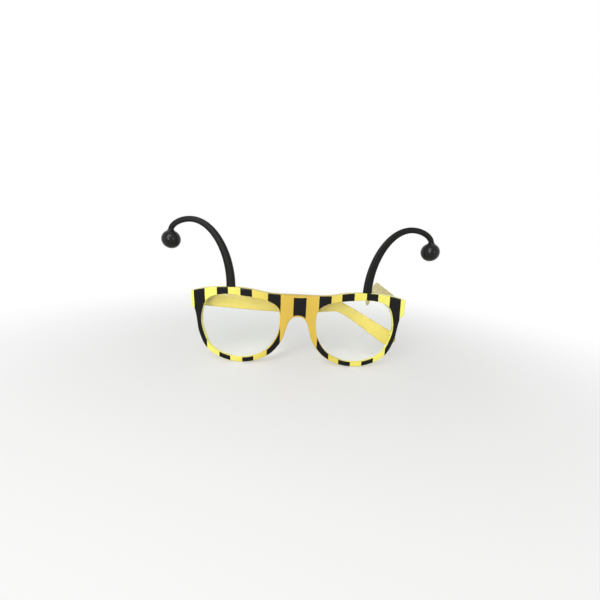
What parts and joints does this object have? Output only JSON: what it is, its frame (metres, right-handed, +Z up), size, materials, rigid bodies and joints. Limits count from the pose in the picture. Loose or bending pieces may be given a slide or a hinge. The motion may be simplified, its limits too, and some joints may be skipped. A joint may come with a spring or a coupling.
{
  "type": "costume glasses",
  "caption": "Costume glasses: a moulded striped front with clear lenses, folding temples on screwed hinges and curved antennae that end in balls.",
  "frame": {"origin": "middle of the bridge's underside, at half of the front's thickness, where the glasses sit on the nose", "axes": "as worn: the front faces -Y, the temples open towards +Y, +Z is up and +X is to the right of a viewer who looks at the front"},
  "size_m": [0.1832, 0.1535, 0.0984],
  "materials": {
    "front_yellow": "glossy yellow moulded plastic, with black upright stripes printed on the front face only",
    "temple_yellow": "glossy yellow moulded plastic; the stripes on the outer faces are a guess",
    "lens_clear": "clear, glossy, no tint",
    "hinge_steel": "pressed steel",
    "screw_steel": "turned steel, slotted head",
    "antenna_black": "satin black moulded plastic",
    "ball_black": "glossy black plastic"
  },
  "bodies": {
    "front": {"front_frame": "front_yellow", "lens_left": "lens_clear", "lens_right": "lens_clear", "front_hinge_left": "hinge_steel", "front_hinge_right": "hinge_steel", "hinge_screw_left": "screw_steel", "hinge_screw_right": "screw_steel", "antenna_stem_left": "antenna_black", "antenna_stem_right": "antenna_black", "antenna_ball_left": "ball_black", "antenna_ball_right": "ball_black"},
    "left_temple": {"temple_left": "temple_yellow", "temple_hinge_left": "hinge_steel"},
    "right_temple": {"temple_right": "temple_yellow", "temple_hinge_right": "hinge_steel"}
  },
  "joints": [
    {"name": "left_temple_fold", "type": "hinge", "parent": "front", "child": "left_temple", "pos_m": [-0.0679, 0.0077, 0.0077], "axis": [0, 0, 1], "range_deg": [0, 95]},
    {"name": "right_temple_fold", "type": "hinge", "parent": "front", "child": "right_temple", "pos_m": [0.0679, 0.0077, 0.0077], "axis": [0, 0, -1], "range_deg": [-85, 0]}
  ]
}
